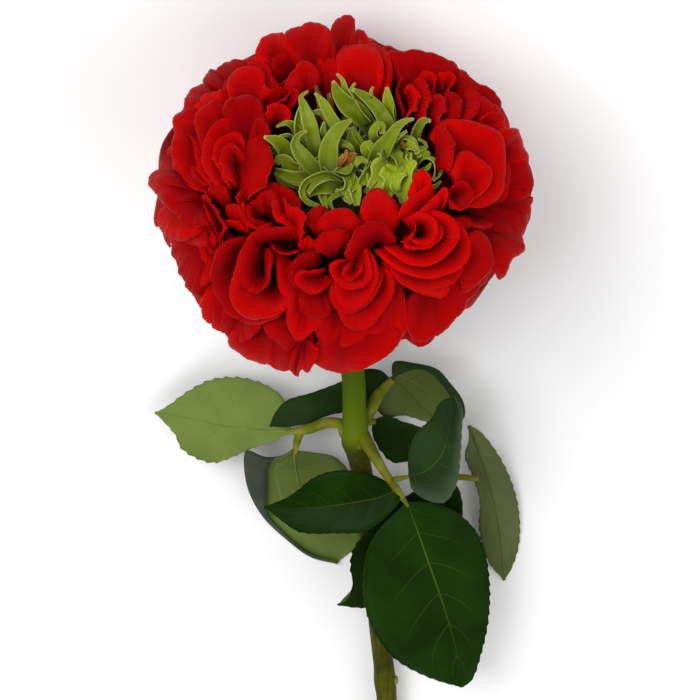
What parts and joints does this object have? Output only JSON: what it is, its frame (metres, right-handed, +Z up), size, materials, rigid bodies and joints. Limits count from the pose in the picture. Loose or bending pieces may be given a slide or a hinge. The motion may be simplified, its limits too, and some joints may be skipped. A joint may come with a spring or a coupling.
{
  "type": "garden rose",
  "caption": "Cut garden rose with a full, rosetted red bloom round a green leafy eye, a calyx, a green stem with a swollen node and toothed leaves; it lies on its side.",
  "frame": {"origin": "middle of the flat rest spot under the bloom, on the surface that the rose lies on", "axes": "+Z up from the surface, +Y along the stem towards the bloom, +X across to the right as seen from above with the bloom at the top"},
  "size_m": [0.1053, 0.253, 0.0959],
  "materials": {
    "petals": "velvety",
    "eye": "satin",
    "calyx": "satin",
    "stem": "satin",
    "leaf_light": "satin, underside up",
    "leaf_dark": "satin, faint sheen",
    "leaf_mixed": "satin"
  },
  "bodies": {
    "root": {"petals": "petals", "eye": "eye", "calyx": "calyx", "stem": "stem", "leaf_left": "leaf_light", "leaf_front": "leaf_dark", "leaf_back": "leaf_mixed", "leaf_low": "leaf_mixed"}
  },
  "joints": []
}
